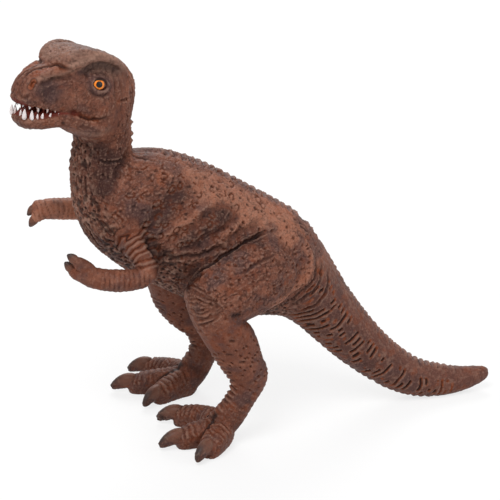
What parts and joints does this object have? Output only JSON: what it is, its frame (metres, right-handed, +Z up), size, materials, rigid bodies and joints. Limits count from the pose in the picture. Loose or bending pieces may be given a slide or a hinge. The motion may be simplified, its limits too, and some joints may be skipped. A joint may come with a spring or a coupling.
{
  "type": "toy dinosaur figure",
  "caption": "Standing predatory dinosaur figure in moulded soft plastic, resting on two clawed feet and its tail, with separate head, jaw, limbs and tail.",
  "frame": {"origin": "on the plane that the feet and the tail stand on, under the middle of the bounding box", "axes": "-X towards the head, +X towards the tail tip, -Y the animal's left side, +Z up"},
  "size_m": [0.1753, 0.0858, 0.1435],
  "materials": {
    "torso": "brown vinyl, satin",
    "head": "brown vinyl, satin, eyes and teeth painted",
    "lower_jaw": "brown vinyl, satin, teeth painted",
    "tail": "brown vinyl, satin",
    "left_arm": "brown vinyl, satin, claws painted grey",
    "right_arm": "brown vinyl, satin, claws painted grey",
    "left_leg": "brown vinyl, satin, claws painted grey",
    "right_leg": "brown vinyl, satin, claws painted grey"
  },
  "bodies": {
    "root": {"torso": "torso", "head": "head", "lower_jaw": "lower_jaw", "tail": "tail", "left_arm": "left_arm", "right_arm": "right_arm", "left_leg": "left_leg", "right_leg": "right_leg"}
  },
  "joints": []
}
